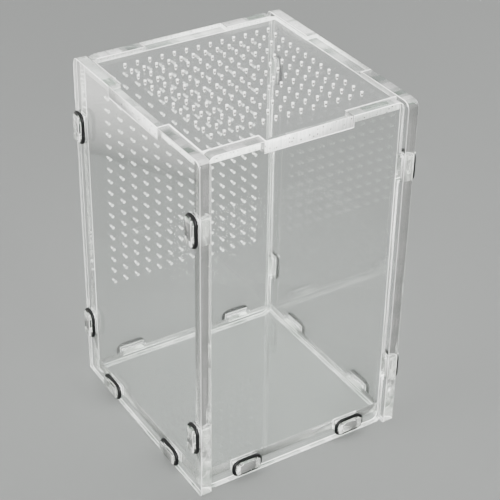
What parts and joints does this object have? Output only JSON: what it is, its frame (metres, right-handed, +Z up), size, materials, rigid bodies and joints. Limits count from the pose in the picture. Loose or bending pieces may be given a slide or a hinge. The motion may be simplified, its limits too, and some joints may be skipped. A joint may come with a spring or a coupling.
{
  "type": "acrylic insect terrarium",
  "caption": "Tall clear acrylic box for insects, with a lift-off vented lid, a vented back wall, and tabbed sheets locked together by black rubber rings.",
  "frame": {"origin": "under the middle of the box, on the surface that it stands on", "axes": "+Z up, +Y towards the vented back wall, +X to the right seen from the front"},
  "size_m": [0.1052, 0.1052, 0.162],
  "materials": {
    "clear_acrylic": "gloss",
    "black_rubber": "matte"
  },
  "bodies": {
    "box": {"left_wall": "clear_acrylic", "right_wall": "clear_acrylic", "front_wall": "clear_acrylic", "back_wall": "clear_acrylic", "floor_sheet": "clear_acrylic", "ring_left_front_low": "black_rubber", "ring_left_front_high": "black_rubber", "ring_left_floor_front": "black_rubber", "ring_left_back_low": "black_rubber", "ring_left_back_high": "black_rubber", "ring_left_floor_back": "black_rubber", "ring_right_front_low": "black_rubber", "ring_right_front_high": "black_rubber", "ring_right_floor_front": "black_rubber", "ring_right_back_low": "black_rubber", "ring_right_back_high": "black_rubber", "ring_right_floor_back": "black_rubber", "ring_front_floor_left": "black_rubber", "ring_front_floor_right": "black_rubber", "ring_back_floor_left": "black_rubber", "ring_back_floor_right": "black_rubber"},
    "lid": {"lid": "clear_acrylic"}
  },
  "joints": [
    {"name": "lid_lift", "type": "slide", "parent": "box", "child": "lid", "axis": [0, 0, 1], "range_m": [0, 0.08]}
  ]
}
